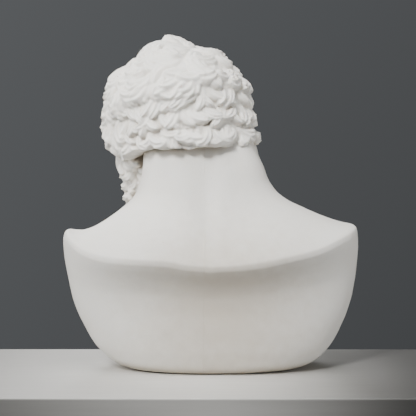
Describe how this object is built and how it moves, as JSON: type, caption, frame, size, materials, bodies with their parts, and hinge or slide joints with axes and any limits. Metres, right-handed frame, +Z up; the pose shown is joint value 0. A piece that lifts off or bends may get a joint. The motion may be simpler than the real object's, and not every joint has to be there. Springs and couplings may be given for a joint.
{
  "type": "marble bust",
  "caption": "free-standing cast marble bust of a bearded man with curly hair, bare shoulders cut off in a rounded bowl, head turned to its left and bowed",
  "frame": {"origin": "middle of the bounding box, on the surface the felt rests on", "axes": "+Z up; the chest faces -Y and the back +Y; +X is the figure's own left, to which the head is turned"},
  "size_m": [0.3506, 0.2314, 0.3945],
  "materials": {
    "cast_marble": "matte cast bonded marble",
    "mortar": "rough grey-white mortar",
    "steel": "plain drawn bar",
    "plywood": "birch plywood, unvarnished",
    "brass": "turned brass",
    "screw_steel": "zinc-plated",
    "ballast_iron": "rough cast iron",
    "felt": "wool felt"
  },
  "bodies": {
    "root": {"torso_casting": "cast_marble", "head_casting": "cast_marble", "neck_joint_mortar": "mortar", "torso_dowel_plug": "mortar", "head_dowel_plug": "mortar", "neck_dowel": "steel", "base_board": "plywood", "base_inserts": "brass", "base_screws": "screw_steel", "ballast_block": "ballast_iron", "felt_base": "felt"}
  },
  "joints": []
}
